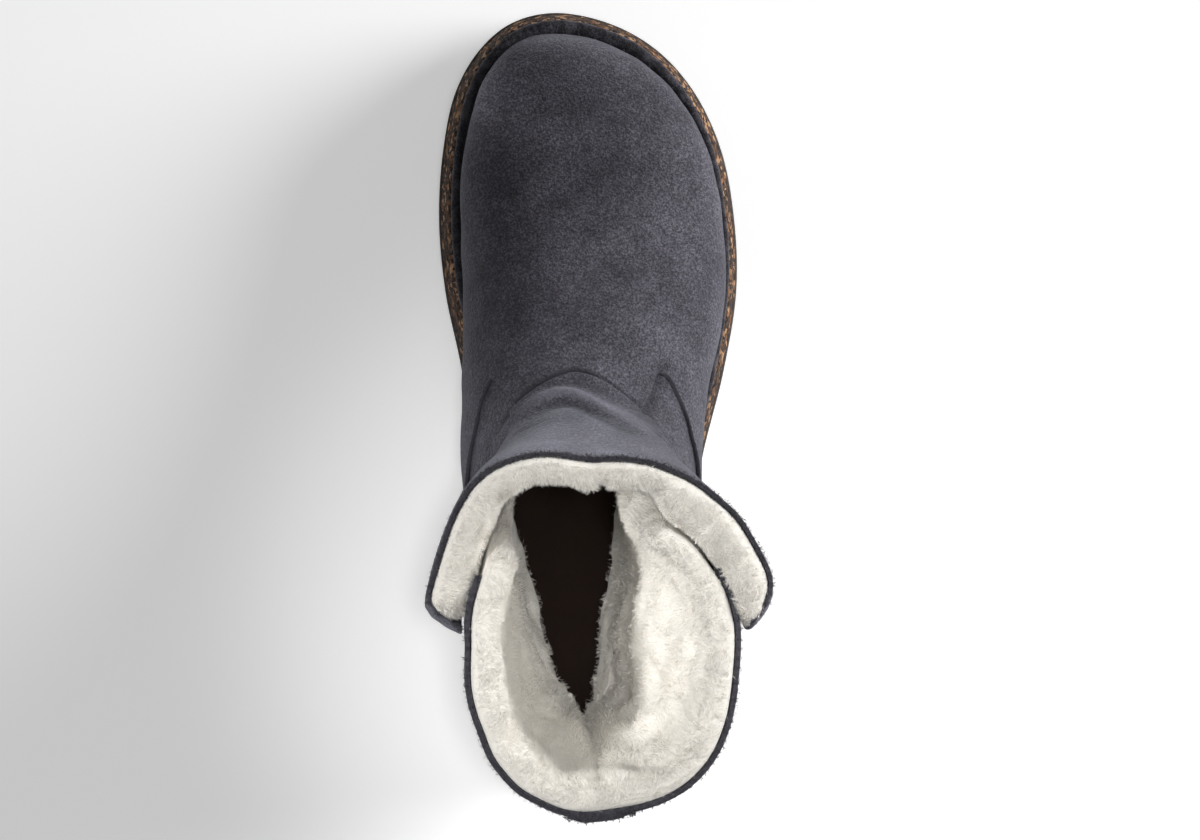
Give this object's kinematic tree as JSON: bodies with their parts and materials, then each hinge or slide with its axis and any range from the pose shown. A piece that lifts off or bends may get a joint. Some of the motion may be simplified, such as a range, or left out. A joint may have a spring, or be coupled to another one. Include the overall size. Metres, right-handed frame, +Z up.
{
  "type": "shearling-lined suede boot",
  "caption": "Ankle-high suede boot for the right foot, lined with thick shearling, with a lapped front flap that spreads at the collar, a cork midsole and a grooved outsole.",
  "frame": {"origin": "bottom centre of the boot's box, on the floor it stands on", "axes": "+Z up, +Y from the heel to the toe, +X to the outer side of the right foot"},
  "size_m": [0.1106, 0.2648, 0.1839],
  "materials": {
    "rubber": "matte, dark grey-brown",
    "cork": "stained dark cork with tan flecks",
    "dark_suede": "dark suede strip",
    "suede": "slate grey suede with a soft nap",
    "footbed": "dark brown suede",
    "shearling": "deep off-white wool pile"
  },
  "bodies": {
    "root": {"outsole": "rubber", "midsole": "cork", "rand": "dark_suede", "upper": "suede", "insole": "footbed", "lining_back": "shearling", "lining_front": "shearling"}
  },
  "joints": []
}
